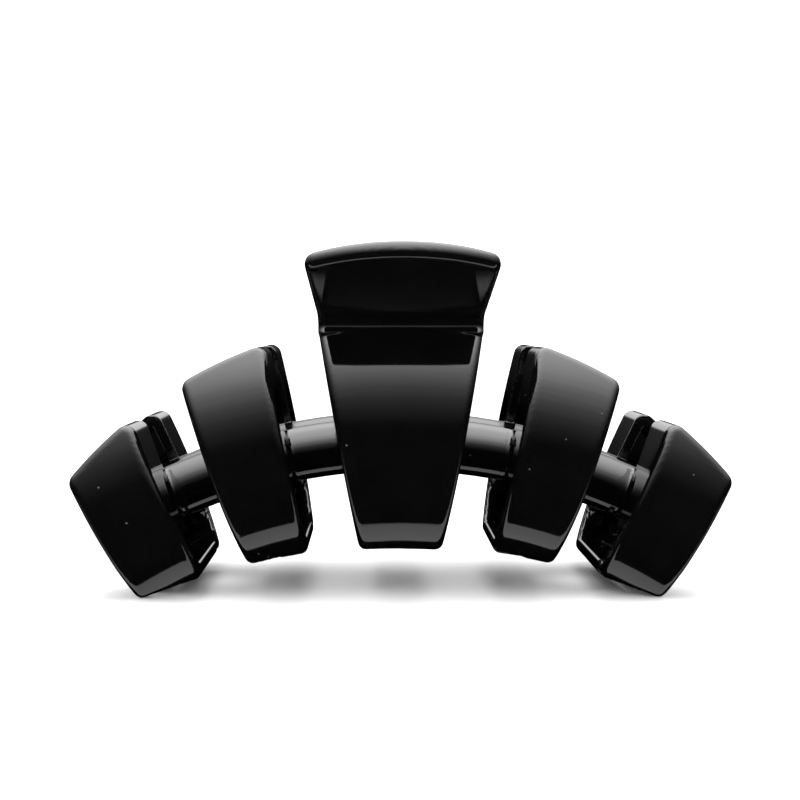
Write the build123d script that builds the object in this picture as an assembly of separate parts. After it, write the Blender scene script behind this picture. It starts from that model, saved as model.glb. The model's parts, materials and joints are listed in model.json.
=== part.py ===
from build123d import *
import os
from math import asin, cos, degrees, radians, sin, sqrt, tan

os.makedirs("parts", exist_ok=True)

# Frame: +X along the clip, +Y from the front jaw to the rear jaw, +Z up.
# The origin is under the middle of the clip, level with the lowest tip. Millimetres.
# Both jaws are one moulding: the rear jaw is the front jaw turned half a turn about Z.

# Front view: the fan of prongs. A side of a prong is its angle from the vertical and the
# height at which its line would cross X = 0.
bar_arc_radius = 92.0  # arc that the bar follows, seen from the front
bar_top_z = 24.1  # height of the hinge, and of the bar's arc at X = 0
fan_centre_z = bar_top_z - bar_arc_radius
top_arc_radius = 67.2  # arc through the upper ends of the side prongs
top_arc_z = 44.6
bottom_arc_radius = 119.0  # arc through the lower ends of all prongs
bottom_arc_z = 7.72
crease_z = 43.4  # where the thumb tab begins
centre_sides = ((-10.3, -29.3), (10.3, -29.3))
mid_prong_sides = ((11.2, fan_centre_z), (18.8, fan_centre_z))
outer_prong_sides = ((22.6, -72.7), (27.8, -79.9))
mid_prong_angle = 15.0  # of the prong's middle about the fan's centre
outer_prong_angle = 27.7
bar_end_angle = 29.8
corner_radius = 1.8
low_corner_radius = 1.4
edge_radius = 1.1  # along the edges of the outer face and of the tab

# Side view: u is the height above the bar's arc, y is negative outwards
belly_y = -25.25
belly_u = 3.0
lower_face_radius = 20.5
upper_face_radius = 27.0
centre_lower_face_radius = 24.0
centre_upper_face_radius = 29.0
band_thickness = 2.8
front_wall = 2.6
side_wall = 1.8
bar_y = -8.65
bar_u = 0.25
bar_radius = 4.5
rim_low = (-10.8, 4.0)  # rear rim of the side walls, y and u
rim_high = (-6.0, 18.0)
centre_rim_high = (-7.4, 20.0)
block_top_u = 4.8  # the prong is solid round the bar up to here
block_bottom_u = -4.8
hook_thickness = 2.4
hook_reach = 12.9
hook_gap = 0.6  # between a front hook and the rear hook beside it
hook_nose_radius = 0.8
cut_y = -13.9  # where the short half of a prong ends
centre_cut_y = -15.2
outer_cut_y = -16.5
short_half_top_z = 12.1  # the cut that ends a short half stays below this height
low_end_u = -15.0  # roughly where the prongs end

# Thumb tab
tab_lean = 67.5  # from the vertical
tab_length = 25.0  # from the crease to the middle of the end
tab_thickness = 2.8
tab_half_width = 13.25  # at the crease
tab_side_angle = 4.1
tab_end_radius = 25.0
tab_corner_radius = 2.6
tab_spare = 4.0  # the tab is made this much too long at each end, then cut
crease_radius = 1.2  # blend between the centre prong and the tab

# Grip nubs on the inner faces
nub_radius_on_fan = 85.0
nub_step_angle = 2.4
nub_base_radius = 1.6
nub_tip_radius = 1.1
nub_height = 1.2

# Hinge
pin_radius = 1.0
pin_hole_radius = 1.05
pin_half_length = 8.6  # between the heads
pin_head_radius = 1.8
pin_head_thickness = 0.8
boss_radius = 3.0
lug_thickness = 2.0
lug_starts = (-8.5, 4.0)  # low X of each of a jaw's two lugs

# Torsion spring
wire_radius = 0.5
wire_bend_radius = 0.53  # the wire is a little thicker where it leaves the coil
coil_radius = 2.3
coil_half_length = 3.3
coil_whole_turns = 5
leg_end = (-20.0, 13.0)  # y and u of the end of the front leg

reach = 60.0  # larger than the clip in any direction from the fan
fan_sweep = 80.0

jaw_bodies = ("front", "rear")
fan_axis = Axis((0, 0, fan_centre_z), (0, 1, 0))


def fan_point(angle, radius, pivot_z=fan_centre_z):
    """Point of the front view on the ray at this angle from the vertical."""
    return (radius * sin(radians(angle)), pivot_z + radius * cos(radians(angle)))


def side_x(side, z):
    """X of a prong's side at height z."""
    angle, pivot_z = side
    return (z - pivot_z) * tan(radians(angle))


def side_line(side, inset):
    """Two points of a prong's side, moved sideways by inset."""
    angle, pivot_z = side
    shift = (inset * cos(radians(angle)), -inset * sin(radians(angle)))
    low = fan_point(angle, bar_top_z - pivot_z - 35, pivot_z)
    high = fan_point(angle, bar_top_z - pivot_z + 45, pivot_z)
    return [(x + shift[0], z + shift[1]) for x, z in (low, high)]


def wedge(sides, inset=0.0):
    """The space between two sides, as a flat shape."""
    left = side_line(sides[0], inset)
    right = side_line(sides[1], -inset)
    return make_face(Polyline(left[0], left[1], right[1], right[0], close=True))


def disc(top_z, radius):
    """A disc of the front view, with its highest point at top_z."""
    return Pos(0, top_z - radius) * Circle(radius)


def upright(shape, y_from=-reach, y_to=reach):
    """Turns a front view shape into a solid between two Y planes."""
    solid = extrude(Plane.XZ * shape, amount=y_to - y_from)
    return Pos(0, y_to, 0) * solid


def prong_outline(prong, inset=0.0):
    """Front view of a prong: two straight sides, upper and lower arc."""
    shape = wedge(prong["sides"], inset)
    shape &= disc(prong["top_z"] - inset, prong["top_radius"] - inset)
    shape -= disc(bottom_arc_z, bottom_arc_radius)
    if inset == 0:
        shape = fillet(shape.vertices().sort_by(Axis.Y)[:2], low_corner_radius)
        if prong["round_corners"]:
            shape = fillet(shape.vertices().sort_by(Axis.Y)[-2:], corner_radius)
    return shape


def face_y(u, radius, inset=0.0):
    """Y of an arc of the outer face, or of a surface inset behind it, at height u."""
    return belly_y + radius - sqrt((radius - inset) ** 2 - (u - belly_u) ** 2)


def fan_solid(profile):
    """Turns a side view shape about the fan's axis, half to each side."""
    placed = Plane.YZ * (Pos(0, bar_top_z) * profile)
    turned = revolve(placed, fan_axis, revolution_arc=fan_sweep)
    return turned.rotate(fan_axis, -fan_sweep / 2)


def face_arc(u_from, u_to, radius, inset=0.0):
    """Arc of the outer face, or inset behind it, between two heights on one side of the belly."""
    middle = (u_from + u_to) / 2
    points = [(face_y(u, radius, inset), u) for u in (u_from, middle, u_to)]
    return ThreePointArc(*points)


def inside_profile(prong):
    """Side view of all that lies behind the outer face."""
    radius = prong["lower_face_radius"]
    upper = face_arc(belly_u, prong["profile_top_u"], prong["face_radius"])
    lower = face_arc(belly_u - radius + 0.05, belly_u, radius)
    back = Polyline(upper @ 1, (reach, (upper @ 1).Y), (reach, (lower @ 0).Y), lower @ 0)
    return make_face([lower, upper, back])


def shell_profile(prong):
    """Side view in front of the rim, the block round the bar and the curved band below it."""
    radius = prong["lower_face_radius"]
    top_u = prong["profile_top_u"]
    rim_top = prong["rim_high"]
    slope = (rim_top[0] - rim_low[0]) / (rim_top[1] - rim_low[1])
    band_end_u = belly_u - radius + band_thickness + 0.05
    band = face_arc(block_bottom_u - 0.6, band_end_u, radius, band_thickness)
    back = Polyline(
        (-reach, top_u + 1),
        (rim_low[0] + slope * (top_u + 1 - rim_low[1]), top_u + 1),
        rim_low,
        (rim_low[0], block_bottom_u),
        band @ 0,
    )
    front = Polyline(band @ 1, ((band @ 1).X, -reach / 2), (-reach, -reach / 2), (-reach, top_u + 1))
    return make_face([back, band, front])


def hollow_profile(prong):
    """Side view of the space behind the front wall, above the bar, open to the rear."""
    top_u = prong["profile_top_u"]
    front = face_arc(block_top_u, top_u, prong["face_radius"], front_wall)
    return make_face([front, Polyline(front @ 1, (0, top_u), (0, block_top_u), front @ 0)])


def prong_block(prong):
    """All that the prong's outline and outer face enclose, with the face's edges rounded."""
    block = upright(prong_outline(prong)) & fan_solid(inside_profile(prong))
    rounded = []
    for edge in block.edges():
        ends = [edge.position_at(place).Y for place in (0, 0.5, 1)]
        on_belly = max(ends) - min(ends) < 0.001 and abs(ends[0] - belly_y) < 0.001
        at_crease = not prong["round_corners"] and edge.center().Z > crease_z - 1.5
        if max(ends) < 0 and not on_belly and not at_crease:
            rounded.append(edge)
    return fillet(rounded, edge_radius)


def make_bar():
    """The round bar that joins the five prongs."""
    turned = fan_solid(Pos(bar_y, bar_u) * Circle(bar_radius))
    return turned & upright(wedge(((-bar_end_angle, fan_centre_z), (bar_end_angle, fan_centre_z))))


def make_prong(prong, bar):
    """One prong: shell above the bar, block round it, curved band below, hook on the +X half."""
    low_x = fan_point(prong["angle"], bar_arc_radius + low_end_u)[0]
    low_z = bottom_arc_z - bottom_arc_radius + sqrt(bottom_arc_radius**2 - low_x**2)
    middle_x = sum(side_x(side, low_z) for side in prong["sides"]) / 2
    hook_x = middle_x + hook_gap / 2

    short_side = Pos(hook_x, prong["cut_y"], 0) * Box(
        reach, reach, 2 * short_half_top_z, align=(Align.MAX, Align.MIN, Align.CENTER)
    )
    hook_side = disc(bottom_arc_z + hook_thickness, bottom_arc_radius + hook_thickness)
    hook_side &= Pos(hook_x + reach / 2, 0) * Rectangle(reach, 2 * reach)

    space = fan_solid(shell_profile(prong)) - short_side
    space += upright(hook_side, -reach, hook_reach)
    solid = prong_block(prong) & space
    solid = fillet(solid.faces().sort_by(Axis.Y)[-1].edges(), hook_nose_radius)
    solid -= upright(prong_outline(prong, side_wall)) & fan_solid(hollow_profile(prong))
    return solid - bar


def tab_crease():
    """Side view point where the prong's face and the tab's outer face would meet, and the
    directions of the two faces there, upwards."""
    crease_u = crease_z - bar_top_z
    slope = asin((crease_u - belly_u) / centre_upper_face_radius)
    along_prong = Vector(sin(slope), cos(slope))
    along_tab = Vector(-sin(radians(tab_lean)), cos(radians(tab_lean)))
    half_turn = (degrees(slope) + tab_lean) / 2
    start = Vector(face_y(crease_u, centre_upper_face_radius), crease_z)
    return start + along_prong * crease_radius * tan(radians(half_turn)), along_prong, along_tab


def make_thumb_tab():
    """Flat tab that leans far outwards from the crease, with an arched, rounded end."""
    corner, along_prong, along_tab = tab_crease()
    behind_prong = Vector(along_prong.Y, -along_prong.X)
    behind_tab = Vector(along_tab.Y, -along_tab.X)
    gap = (behind_tab - behind_prong).length / (along_prong - along_tab).length
    inner_corner = corner + behind_prong * tab_thickness + along_prong * tab_thickness * gap
    foot = corner - along_prong * tab_spare
    head = corner + along_tab * (tab_length + tab_spare)
    points = [foot, corner, head, head + behind_tab * tab_thickness, inner_corner]
    points.append(foot + behind_prong * tab_thickness)
    profile = make_face(Polyline([(p.X, p.Y) for p in points], close=True))
    bends = profile.vertices().sort_by_distance((inner_corner.X, inner_corner.Y))
    profile = fillet(bends[0], crease_radius + tab_thickness)
    bends = profile.vertices().sort_by_distance((corner.X, corner.Y))
    profile = fillet(bends[0], crease_radius)
    plate = extrude(Plane.YZ * profile, amount=reach / 2, both=True)

    wide = tab_half_width + tab_length * tan(radians(tab_side_angle))
    narrow = tab_half_width - tab_spare * tan(radians(tab_side_angle))
    sides = [(-narrow, -tab_spare), (narrow, -tab_spare), (wide, tab_length), (-wide, tab_length)]
    outline = make_face(Polyline(*sides, close=True))
    end_disc = Pos(0, tab_length - tab_end_radius) * Circle(tab_end_radius)
    outline &= end_disc + Rectangle(reach, tab_length)
    outline = fillet(outline.vertices().sort_by(Axis.Y)[-2:], tab_corner_radius)
    outward = Vector(0, -behind_tab.X, -behind_tab.Y)
    face = Plane((0, corner.X, corner.Y), x_dir=(1, 0, 0), z_dir=outward)
    plate &= extrude(face * outline, amount=reach / 2, both=True)
    rounded = []
    for edge in plate.edges():
        start, end = [face.to_local_coords(edge.position_at(place)) for place in (0, 1)]
        if abs(start.Z - end.Z) < 0.01 and max(start.Y, end.Y) > tab_thickness:
            rounded.append(edge)
    return fillet(rounded, edge_radius) - upright(disc(crease_z, crease_z - fan_centre_z))


def make_grip_nubs(prong_solids):
    """Three nubs in a row on the inner face of every prong, below the bar."""
    nubs = []
    length = nub_height + 1.5
    for prong in prongs.values():
        foot_u = nub_radius_on_fan - bar_arc_radius
        foot_y = face_y(foot_u, prong["lower_face_radius"], band_thickness)
        for step in (-1, 0, 1):
            x, z = fan_point(prong["angle"] + step * nub_step_angle, nub_radius_on_fan)
            cone = Cone(nub_base_radius, nub_tip_radius, length).rotate(Axis.X, -90)
            nub = Pos(x, foot_y + nub_height - length / 2, z) * cone
            for solid in prong_solids:
                nub -= solid
            nubs.append(nub.solids().sort_by(SortBy.VOLUME)[-1])
    return Compound(nubs)


def make_lugs(bar):
    """The jaw's two hinge lugs, from the bar to a boss round the pin."""
    arm = Pos(bar_y / 2, bar_top_z) * Rectangle(-bar_y, 2 * boss_radius)
    boss = Pos(0, bar_top_z) * Circle(boss_radius)
    hole = Pos(0, bar_top_z) * Circle(pin_hole_radius)
    plate = Plane.YZ * (arm + boss - hole)
    lugs = []
    for start in lug_starts:
        lug = Pos(start, 0, 0) * extrude(plate, amount=lug_thickness) - bar
        lugs.append(lug.solids().sort_by(Axis.Y)[-1])
    return Compound(lugs)


def make_pin():
    """Hinge pin with a head at each end."""
    pin = Cylinder(pin_radius, 2 * pin_half_length)
    for end in (-1, 1):
        place = Pos(0, 0, end * (pin_half_length + pin_head_thickness / 2))
        pin += place * Cylinder(pin_head_radius, pin_head_thickness)
    return Pos(0, 0, bar_top_z) * pin.rotate(Axis.Y, 90)


def make_spring():
    """Torsion spring round the pin; each leg lies inside the upper shell of a jaw."""
    end = Vector(leg_end[0], leg_end[1])
    leg_length = sqrt(end.length**2 - coil_radius**2)
    flat = Vector(1, 0)
    end_angle = 180 - abs(Vector(-1, 0).get_angle(end))
    start_angle = end_angle - Vector(coil_radius, leg_length).get_angle(flat)
    turn = coil_whole_turns * 360 + 360 - (180 - 2 * start_angle)
    pitch = 2 * coil_half_length / (turn / 360)
    line = Helix(pitch, 2 * coil_half_length, coil_radius, lefthand=True)
    coil = sweep(Plane(line @ 0, z_dir=line % 0) * Circle(wire_radius), path=line)
    spring = Pos(0, 0, -coil_half_length) * coil.rotate(Axis.Z, start_angle)
    for side, angle in ((-1, start_angle), (1, 180 - start_angle)):
        tangent = Vector(coil_radius * cos(radians(angle)), coil_radius * sin(radians(angle)))
        start = Vector(tangent.X, tangent.Y, side * coil_half_length)
        stop = Vector(-side * end.X, end.Y, side * coil_half_length)
        leg = Cylinder(wire_radius, leg_length, align=(Align.CENTER, Align.CENTER, Align.MIN))
        leg = Plane(start, z_dir=stop - start) * leg
        leg += Pos(*stop) * Sphere(wire_radius)
        leg += Pos(*start) * Sphere(wire_bend_radius)
        spring += leg
    return Pos(0, 0, bar_top_z) * (Plane.YZ * spring)


def prong_spec(sides, angle, cut=cut_y, centre=False):
    """Values that make one prong; the centre prong has its own top and face."""
    return {
        "sides": sides,
        "angle": angle,
        "top_z": crease_z if centre else top_arc_z,
        "top_radius": crease_z - fan_centre_z if centre else top_arc_radius,
        "round_corners": not centre,
        "face_radius": centre_upper_face_radius if centre else upper_face_radius,
        "lower_face_radius": centre_lower_face_radius if centre else lower_face_radius,
        "profile_top_u": crease_z - bar_top_z + 1.5,
        "rim_high": centre_rim_high if centre else rim_high,
        "cut_y": cut,
    }


def mirrored(sides):
    """The same sides at -X."""
    return tuple((-angle, pivot_z) for angle, pivot_z in reversed(sides))


prongs = {
    "centre_prong": prong_spec(centre_sides, 0, centre_cut_y, centre=True),
    "mid_prong_left": prong_spec(mirrored(mid_prong_sides), -mid_prong_angle),
    "mid_prong_right": prong_spec(mid_prong_sides, mid_prong_angle),
    "outer_prong_left": prong_spec(mirrored(outer_prong_sides), -outer_prong_angle, outer_cut_y),
    "outer_prong_right": prong_spec(outer_prong_sides, outer_prong_angle, outer_cut_y),
}

bar = make_bar()
jaw = {name: make_prong(prong, bar) for name, prong in prongs.items()}
jaw["bar"] = bar
jaw["grip_nubs"] = make_grip_nubs([jaw[name] for name in prongs])
jaw["hinge_lugs"] = make_lugs(bar)
jaw["thumb_tab"] = make_thumb_tab()

for body in jaw_bodies:
    half_turn = 0 if body == "front" else 180
    for name, solid in jaw.items():
        export_step(solid.rotate(Axis.Z, half_turn), f"parts/{body}_{name}.step")

export_step(make_pin(), "parts/hinge_pin.step")
export_step(make_spring(), "parts/torsion_spring.step")
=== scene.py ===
import json
import math

import bmesh
import bpy
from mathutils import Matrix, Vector


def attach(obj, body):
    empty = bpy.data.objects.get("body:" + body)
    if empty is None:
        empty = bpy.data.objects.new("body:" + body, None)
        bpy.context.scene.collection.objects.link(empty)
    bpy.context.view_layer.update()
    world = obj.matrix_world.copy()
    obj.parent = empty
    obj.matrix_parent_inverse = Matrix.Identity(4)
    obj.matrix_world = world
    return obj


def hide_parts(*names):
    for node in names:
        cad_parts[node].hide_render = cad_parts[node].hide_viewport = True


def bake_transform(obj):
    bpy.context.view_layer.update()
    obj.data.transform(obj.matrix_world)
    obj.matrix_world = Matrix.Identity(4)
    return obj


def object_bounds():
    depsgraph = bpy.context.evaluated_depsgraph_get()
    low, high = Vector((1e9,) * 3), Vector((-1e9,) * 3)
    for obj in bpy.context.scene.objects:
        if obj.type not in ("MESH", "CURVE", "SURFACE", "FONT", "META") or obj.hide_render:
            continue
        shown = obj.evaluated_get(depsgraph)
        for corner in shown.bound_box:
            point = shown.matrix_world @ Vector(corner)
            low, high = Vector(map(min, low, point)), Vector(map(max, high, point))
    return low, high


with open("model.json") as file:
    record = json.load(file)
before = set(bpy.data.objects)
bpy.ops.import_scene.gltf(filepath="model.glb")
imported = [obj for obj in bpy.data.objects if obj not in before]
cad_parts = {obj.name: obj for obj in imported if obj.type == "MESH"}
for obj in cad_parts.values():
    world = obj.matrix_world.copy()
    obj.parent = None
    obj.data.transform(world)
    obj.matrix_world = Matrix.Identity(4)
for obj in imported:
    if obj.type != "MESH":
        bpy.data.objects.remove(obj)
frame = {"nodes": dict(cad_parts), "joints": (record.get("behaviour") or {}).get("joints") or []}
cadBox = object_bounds()
mm = 0.001
hinge = Vector(frame["joints"][0]["pos_m"])
floorHeight = cadBox[0][2]
scene = bpy.context.scene
scene.view_settings.view_transform = "Standard"


class Val:  # a shader value that can be used in sums

    def __init__(self, tree, socket):
        self.tree = tree
        self.socket = socket

    def math(self, operation, first, second):
        node = self.tree.nodes.new("ShaderNodeMath")
        node.operation = operation
        for slot, value in enumerate((first, second)):
            if isinstance(value, Val):
                self.tree.links.new(value.socket, node.inputs[slot])
            else:
                node.inputs[slot].default_value = value
        return Val(self.tree, node.outputs[0])

    def __add__(self, other):
        return self.math("ADD", self, other)

    def __sub__(self, other):
        return self.math("SUBTRACT", self, other)

    def __rsub__(self, other):
        return self.math("SUBTRACT", other, self)

    def __mul__(self, other):
        return self.math("MULTIPLY", self, other)

    __radd__ = __add__
    __rmul__ = __mul__

    def clamped(self):
        return self.math("MAXIMUM", self.math("MINIMUM", self, 1.0), 0.0)


class Shader:  # a material's nodes, made by short calls

    def __init__(self, name):
        self.material = bpy.data.materials.new(name)
        self.material.use_nodes = True
        self.tree = self.material.node_tree
        self.tree.nodes.clear()

    def node(self, kind, settings=None, **sockets):
        made = self.tree.nodes.new(kind)
        for name, value in (settings or {}).items():
            if name == "stops":
                elements = made.color_ramp.elements
                while len(elements) < len(value):
                    elements.new(0.5)
                for element, (place, colour) in zip(elements, value):
                    element.position = place
                    element.color = (*colour, 1)
            else:
                setattr(made, name, value)
        for name, value in sockets.items():
            socket = made.inputs[name.replace("_", " ")]
            if isinstance(value, Val):
                self.tree.links.new(value.socket, socket)
            else:
                socket.default_value = value
        return made

    def val(self, made, output=0):
        return Val(self.tree, made.outputs[output])

    def finish(self, surface):
        out = self.node("ShaderNodeOutputMaterial")
        self.tree.links.new(surface.outputs[0], out.inputs[0])
        return self.material


def grey(level):
    return (level, level, level)


stage = {
    "floorRadius": 1.9,
    "floorGrey": 0.89,
    "floorMottle": 0.02,
    "floorDrop": 0.02 * mm,  # keeps the floor just clear of the tips
    "domeRadius": 2.0,
    "backdropGlow": 1.9,
    "mirrorDepth": -0.5,  # the white seen from below in the gloss lies this far down
    "mirrorHalfWidth": 0.093,
    "mirrorHalfLength": 1.5,
    "mirrorGlow": 1.26,
    "lampHeight": 0.42,
    "lampSize": 0.5,
    "lampPower": 1.6,
    # how bright the overhead light is, by the sine of the height above the horizon
    "overheadGlow": [(0.0, 0.0), (0.06, 0.003), (0.21, 0.026), (0.34, 0.063), (0.47, 0.14),
                     (0.62, 0.32), (0.74, 0.6), (0.93, 1.0)],
    "overheadPeak": 7.0,
    "behindGlow": 1.05,  # the white backdrop behind the clip, as its gloss shows it
    "behindFrom": 0.8,  # share of the dome's radius where it begins, and how sharply
    "behindEdge": 8,
    "behindLow": 0.1,  # sines of its lowest and highest edge, and how sharp they are
    "behindLowEdge": 30,
    "behindHigh": 0.4,
    "behindHighEdge": 10,
}


def glowMaterial(name, strength):
    shader = Shader(name)
    return shader.finish(shader.node("ShaderNodeEmission", Strength=strength))


def seenOnlyBy(made, *rays):
    for ray in ("camera", "diffuse", "glossy", "transmission", "volume_scatter", "shadow"):
        setattr(made, "visible_" + ray, ray in rays)


def stageObject(made, name, material, *rays):
    made.name = name
    made.data.materials.append(material)
    seenOnlyBy(made, *rays)


def makeFloor():
    shader = Shader("paleFloor")
    grain = shader.node("ShaderNodeTexNoise", Scale=40.0, Detail=2.0)
    tone = shader.val(grain) * stage["floorMottle"] + stage["floorGrey"]
    colour = shader.node("ShaderNodeCombineColor", Red=tone, Green=tone, Blue=tone)
    material = shader.finish(shader.node("ShaderNodeBsdfDiffuse", Color=shader.val(colour)))
    place = (0, 0, floorHeight - stage["floorDrop"])
    bpy.ops.mesh.primitive_circle_add(vertices=96, radius=stage["floorRadius"], fill_type="NGON",
                                      location=place)
    stageObject(bpy.context.object, "floor", material, "camera", "diffuse", "shadow", "transmission")


def makeMirrorCard():  # what the gloss sees below the clip, and nothing else does
    wide, long = stage["mirrorHalfWidth"], stage["mirrorHalfLength"]
    bpy.ops.mesh.primitive_plane_add(size=2, location=(0, 0, stage["mirrorDepth"]))
    card = bpy.context.object
    for vertex in card.data.vertices:
        vertex.co.x *= long
        vertex.co.y *= wide
    stageObject(card, "mirrorCard", glowMaterial("mirrorGlow", stage["mirrorGlow"]), "glossy")


def makeDome(name, material, *rays):
    bpy.ops.mesh.primitive_uv_sphere_add(segments=64, ring_count=32, radius=stage["domeRadius"])
    stageObject(bpy.context.object, name, material, *rays)


def makeLights():
    world = bpy.data.worlds.new("studio")
    scene.world = world
    world.use_nodes = True
    world.node_tree.nodes["Background"].inputs["Strength"].default_value = 0.0
    makeDome("backdrop", glowMaterial("backdropWhite", stage["backdropGlow"]), "camera", "diffuse")

    shader = Shader("overheadGlow")
    place = shader.node("ShaderNodeTexCoord")
    parts = shader.node("ShaderNodeSeparateXYZ", Vector=shader.val(place, 3))
    height = shader.val(parts, 2) * (1 / stage["domeRadius"])
    stops = [(sine, grey(level)) for sine, level in stage["overheadGlow"]]
    ramp = shader.node("ShaderNodeValToRGB", {"stops": stops}, Fac=height)
    back = shader.val(parts, 1) * (1 / stage["domeRadius"])
    behind = ((back - stage["behindFrom"]) * stage["behindEdge"]).clamped()
    aboveLow = ((height - stage["behindLow"]) * stage["behindLowEdge"]).clamped()
    belowHigh = ((stage["behindHigh"] - height) * stage["behindHighEdge"]).clamped()
    strength = shader.val(ramp) * stage["overheadPeak"] + behind * aboveLow * belowHigh * stage["behindGlow"]
    glow = shader.node("ShaderNodeEmission", Strength=strength)
    makeDome("overhead", shader.finish(glow), "glossy")

    lamp = bpy.data.lights.new("softLamp", "AREA")
    lamp.shape = "DISK"
    lamp.size = stage["lampSize"]
    lamp.energy = stage["lampPower"]
    made = bpy.data.objects.new("softLamp", lamp)
    made.location = (0, 0, floorHeight + stage["lampHeight"])
    scene.collection.objects.link(made)
    made.visible_glossy = False
    made.visible_camera = False


view = {
    "sideways": -4.15 * mm,
    "away": 287.75 * mm,
    "aboveHinge": 20.4 * mm,
    "lens": 76.05,
    "down": 2.64,  # degrees below level
    "turn": -0.85,
}


def makeCamera():
    lens = bpy.data.cameras.new("camera")
    lens.lens = view["lens"]
    lens.sensor_width = 36.0
    lens.clip_start = 0.01
    made = bpy.data.objects.new("camera", lens)
    made.location = (view["sideways"], -view["away"], hinge.z + view["aboveHinge"])
    made.rotation_euler = (math.radians(90 - view["down"]), 0, math.radians(view["turn"]))
    scene.collection.objects.link(made)
    scene.camera = made


makeFloor()
makeMirrorCard()
makeLights()
makeCamera()
print("stage, light and camera are in place")

plastic = {
    "darkest": grey(0.0009),
    "lightest": grey(0.0024),
    "dust": (0.10, 0.10, 0.095),
    "dustScale": 700.0,
    "dustSize": 0.10,  # of a cell of the speck pattern
    "dustShare": 0.05,  # of the cells that hold a speck
    "dustRoughness": 0.4,
    "cloudScale": 220.0,
    "waveScale": 150.0,
    "grainScale": 2400.0,
    "roughness": 0.045,
    "grainRoughness": 0.03,
    "innerRoughness": 0.10,  # added on the faces that look inwards
    "scratchRoughness": 0.05,
    "scratchTurns": (0.4, -0.9),
    "scratchStretch": (260, 4200, 4200),
    "scratchFrom": 0.70,  # a higher value leaves fewer scratches
    "waviness": 0.035 * mm,
}


def blackPlastic():
    shader = Shader("glossyBlackPlastic")
    place = shader.node("ShaderNodeTexCoord")
    where = shader.val(place, 3)
    cloud = shader.node("ShaderNodeTexNoise", Vector=where, Scale=plastic["cloudScale"], Detail=4.0)
    broad = shader.node("ShaderNodeTexNoise", Vector=where, Scale=plastic["waveScale"], Detail=1.0)
    fine = shader.node("ShaderNodeTexNoise", Vector=where, Scale=plastic["grainScale"], Detail=3.0)

    # hairline scratches run roughly across the prongs, in two directions
    scratches = 0
    for turn in plastic["scratchTurns"]:
        stretch = shader.node("ShaderNodeMapping", Vector=where, Rotation=(0.2, turn, 0.3),
                              Scale=plastic["scratchStretch"])
        lines = shader.node("ShaderNodeTexNoise", Vector=shader.val(stretch), Scale=1.0, Detail=1.0)
        scratches = ((shader.val(lines) - plastic["scratchFrom"]) * 14).clamped() + scratches

    # specks of dust
    cells = shader.node("ShaderNodeTexVoronoi", Vector=where, Scale=plastic["dustScale"])
    chance = shader.node("ShaderNodeSeparateColor", Color=shader.val(cells, 1))
    chosen = ((shader.val(chance) - (1 - plastic["dustShare"])) * 50).clamped()
    dust = ((plastic["dustSize"] - shader.val(cells)) * 40).clamped() * chosen

    # faces that look towards the middle of the clip are less polished
    spot = shader.node("ShaderNodeSeparateXYZ", Vector=where)
    facing = shader.node("ShaderNodeSeparateXYZ", Vector=shader.val(place, 1))
    inner = (shader.val(spot, 1) * shader.val(facing, 1) * -150).clamped()

    stops = [(0.0, plastic["darkest"]), (0.2, plastic["lightest"]), (1.0, plastic["dust"])]
    colour = shader.node("ShaderNodeValToRGB", {"stops": stops}, Fac=shader.val(cloud) * 0.2 + dust)
    roughness = (shader.val(fine) * plastic["grainRoughness"] + plastic["roughness"]
                 + scratches * plastic["scratchRoughness"] + inner * plastic["innerRoughness"]
                 + dust * plastic["dustRoughness"])
    height = shader.val(broad) + scratches * -0.02 + dust * 0.05 + inner * shader.val(fine) * 0.03
    bump = shader.node("ShaderNodeBump", Strength=0.25, Distance=plastic["waviness"], Height=height)
    return shader.finish(shader.node("ShaderNodeBsdfPrincipled", Base_Color=shader.val(colour), IOR=1.52,
                                     Roughness=roughness, Normal=shader.val(bump)))


steelWire = {"dark": grey(0.30), "light": grey(0.62), "roughness": 0.16, "drawnRoughness": 0.2}


def drawnSteel():
    shader = Shader("drawnSteel")
    place = shader.node("ShaderNodeTexCoord")
    where = shader.val(place, 3)
    grain = shader.node("ShaderNodeTexNoise", Vector=where, Scale=700.0, Detail=4.0)
    stretch = shader.node("ShaderNodeMapping", Vector=where, Scale=(300, 6000, 6000))
    drawn = shader.node("ShaderNodeTexNoise", Vector=shader.val(stretch), Scale=1.0, Detail=2.0)
    stops = [(0.3, steelWire["dark"]), (0.7, steelWire["light"])]
    colour = shader.node("ShaderNodeValToRGB", {"stops": stops}, Fac=shader.val(grain))
    roughness = shader.val(drawn) * steelWire["drawnRoughness"] + steelWire["roughness"]
    bump = shader.node("ShaderNodeBump", Strength=0.3, Distance=0.01 * mm, Height=shader.val(drawn))
    return shader.finish(shader.node("ShaderNodeBsdfPrincipled", Base_Color=shader.val(colour), Metallic=1.0,
                                     Roughness=roughness, Normal=shader.val(bump)))


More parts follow.
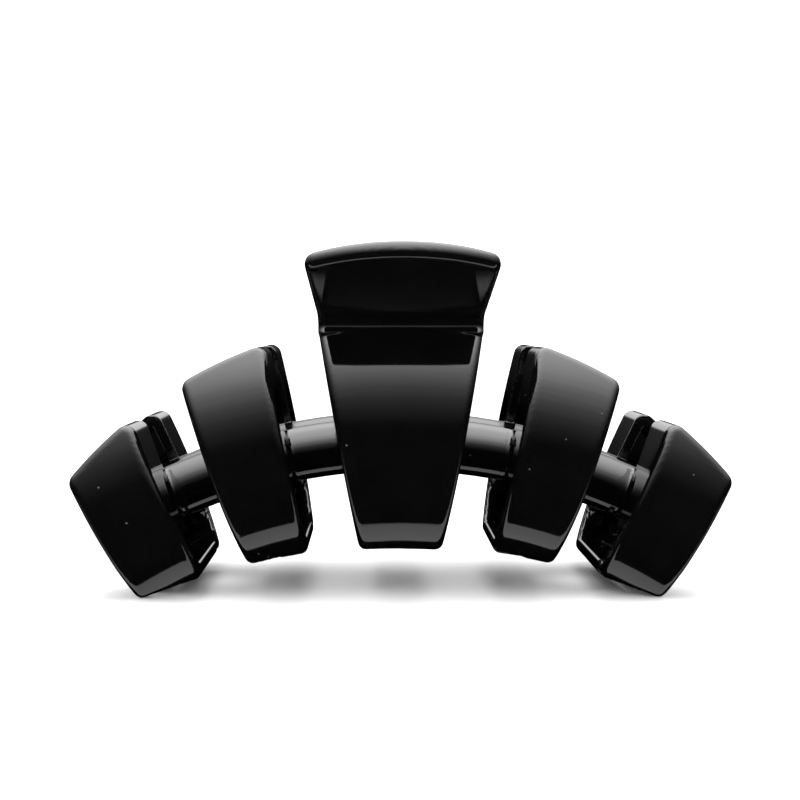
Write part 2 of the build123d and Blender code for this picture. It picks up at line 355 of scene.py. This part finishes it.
plasticMaterial = blackPlastic()
steelMaterial = drawnSteel()
print("black plastic and drawn steel are made")

moulding = {
    "regions": ["bar", "centre_prong", "mid_prong_left", "mid_prong_right", "outer_prong_left",
                "outer_prong_right", "grip_nubs", "hinge_lugs", "thumb_tab"],
    "grid": 0.27 * mm,
    "softening": 6,
    "softeningStep": 0.5,
}


def newPiece(name, mesh, material):
    made = bpy.data.objects.new(name, mesh)
    scene.collection.objects.link(made)
    mesh.materials.clear()
    mesh.materials.append(material)
    return made


def makeJaw(side):  # one moulding that runs through all the regions of a jaw
    nodes = [side + "_" + region for region in moulding["regions"]]
    joined = bmesh.new()
    for node in nodes:
        joined.from_mesh(frame["nodes"][node].data)
    mesh = bpy.data.meshes.new(side + "_jaw_moulding")
    joined.to_mesh(mesh)
    joined.free()
    made = newPiece(side + "_jaw_moulding", mesh, plasticMaterial)
    grid = made.modifiers.new("grid", "REMESH")
    grid.mode = "VOXEL"
    grid.voxel_size = moulding["grid"]
    soften = made.modifiers.new("soften", "SMOOTH")
    soften.factor = moulding["softeningStep"]
    soften.iterations = moulding["softening"]
    graph = bpy.context.evaluated_depsgraph_get()
    made.data = bpy.data.meshes.new_from_object(made.evaluated_get(graph))
    made.modifiers.clear()
    made.data.polygons.foreach_set("use_smooth", [True] * len(made.data.polygons))
    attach(made, side + "_jaw")
    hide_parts(*nodes)
    print(side, "jaw moulding:", len(made.data.polygons), "faces")


def makeSpring():  # a smooth-shaded copy of the CAD coil, in drawn steel
    coil = frame["nodes"]["torsion_spring"]
    made = newPiece("wound_spring", coil.data.copy(), steelMaterial)
    made.data.polygons.foreach_set("use_smooth", [True] * len(made.data.polygons))
    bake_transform(made)
    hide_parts("torsion_spring")
    print("spring:", len(made.data.polygons), "faces")


def finishPin():  # the CAD pin keeps its shape
    pin = frame["nodes"]["hinge_pin"]
    pin.data.materials.clear()
    pin.data.materials.append(steelMaterial)
    print("pin: steel")


for side in ("front", "rear"):
    makeJaw(side)
makeSpring()
finishPin()
